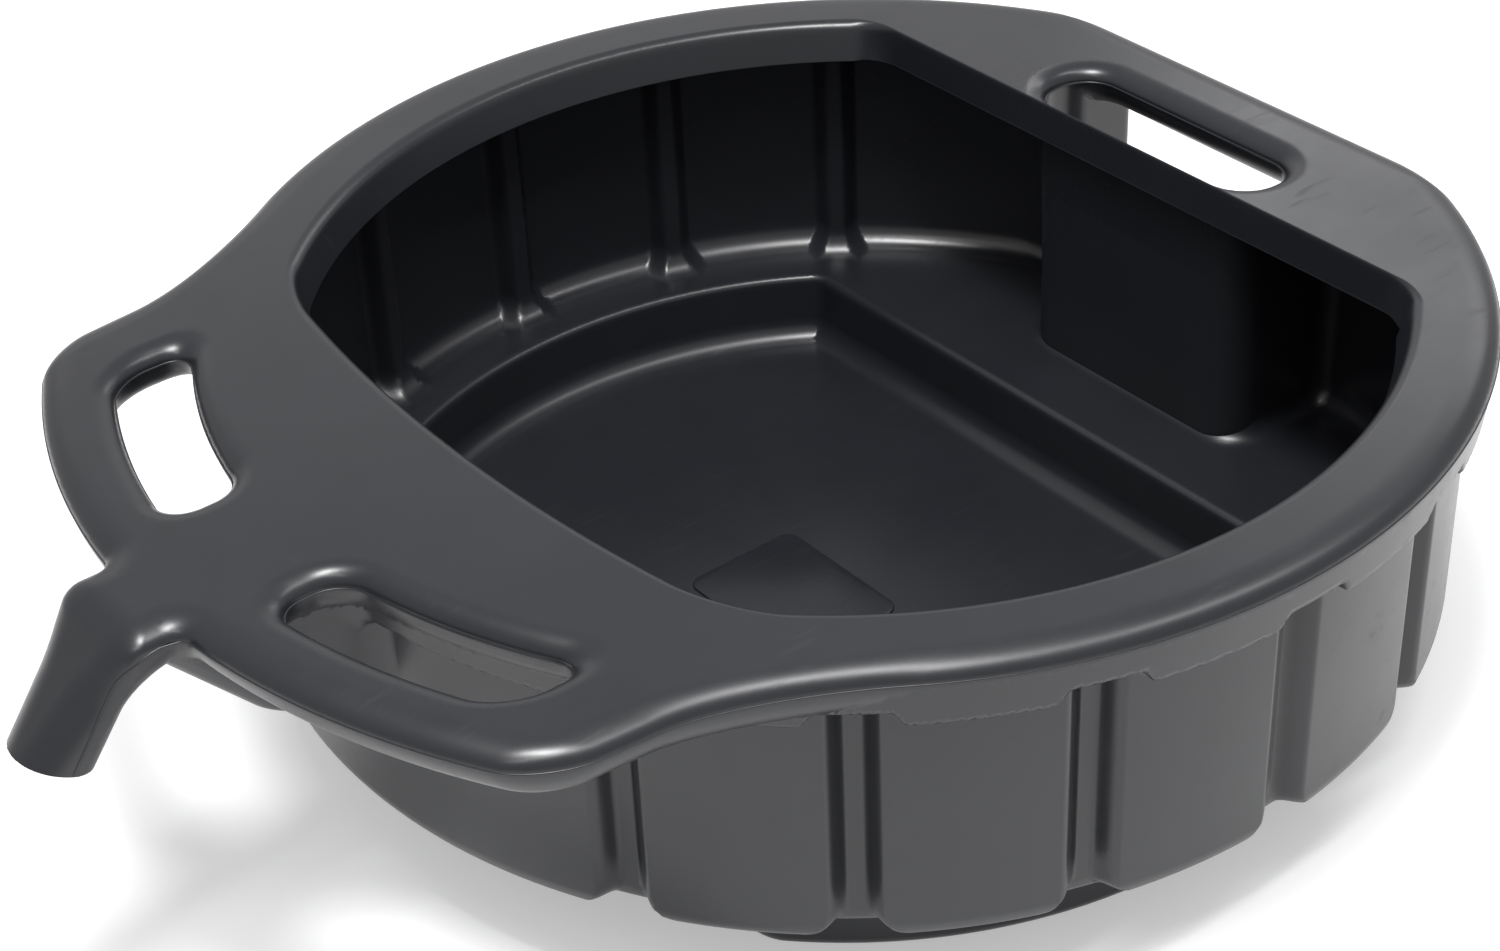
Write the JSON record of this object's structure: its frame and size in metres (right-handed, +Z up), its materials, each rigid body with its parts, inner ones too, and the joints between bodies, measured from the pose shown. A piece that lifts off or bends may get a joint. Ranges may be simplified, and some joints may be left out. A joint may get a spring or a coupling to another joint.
{
  "type": "oil drain pan",
  "caption": "Round black plastic drain pan with a flat rolled rim, grooved walls, a recessed sump, loop handles beside a down-turned pouring spout and a slot handle at the rear.",
  "frame": {"origin": "on the ground plane under the centre of the round bowl, in the middle of the sump floor's underside", "axes": "+X towards the rear handle, -X towards the spout, +Y to the left when looking from the spout's end towards the rear handle, +Z up"},
  "size_m": [0.5684, 0.4796, 0.1546],
  "materials": {
    "black_polyethylene": "satin, finely grained as moulded"
  },
  "bodies": {
    "root": {"sump_floor": "black_polyethylene", "sump_wall_left": "black_polyethylene", "sump_wall_right": "black_polyethylene", "sump_wall_front": "black_polyethylene", "sump_wall_rear": "black_polyethylene", "ledge_left": "black_polyethylene", "ledge_right": "black_polyethylene", "ledge_front": "black_polyethylene", "ledge_rear": "black_polyethylene", "wall_panel_left_1": "black_polyethylene", "wall_panel_left_2": "black_polyethylene", "wall_panel_left_3": "black_polyethylene", "wall_panel_left_4": "black_polyethylene", "wall_panel_left_5": "black_polyethylene", "wall_panel_right_1": "black_polyethylene", "wall_panel_right_2": "black_polyethylene", "wall_panel_right_3": "black_polyethylene", "wall_panel_right_4": "black_polyethylene", "wall_panel_right_5": "black_polyethylene", "front_wall_left": "black_polyethylene", "front_wall_middle": "black_polyethylene", "front_wall_right": "black_polyethylene", "rear_wall_left": "black_polyethylene", "rear_wall_right": "black_polyethylene", "finger_recess": "black_polyethylene", "skirt_left": "black_polyethylene", "skirt_right": "black_polyethylene", "skirt_front_left": "black_polyethylene", "skirt_front_right": "black_polyethylene", "skirt_rear_left": "black_polyethylene", "skirt_rear_right": "black_polyethylene", "rim_left": "black_polyethylene", "rim_right": "black_polyethylene", "front_deck": "black_polyethylene", "front_lip": "black_polyethylene", "rear_deck_left": "black_polyethylene", "rear_deck_middle": "black_polyethylene", "rear_deck_right": "black_polyethylene", "rear_lip": "black_polyethylene", "front_handle_left_top": "black_polyethylene", "front_handle_left_bottom": "black_polyethylene", "front_handle_right_top": "black_polyethylene", "front_handle_right_bottom": "black_polyethylene", "rear_handle_top": "black_polyethylene", "rear_handle_bottom": "black_polyethylene", "spout_top": "black_polyethylene", "spout_bottom": "black_polyethylene"}
  },
  "joints": []
}
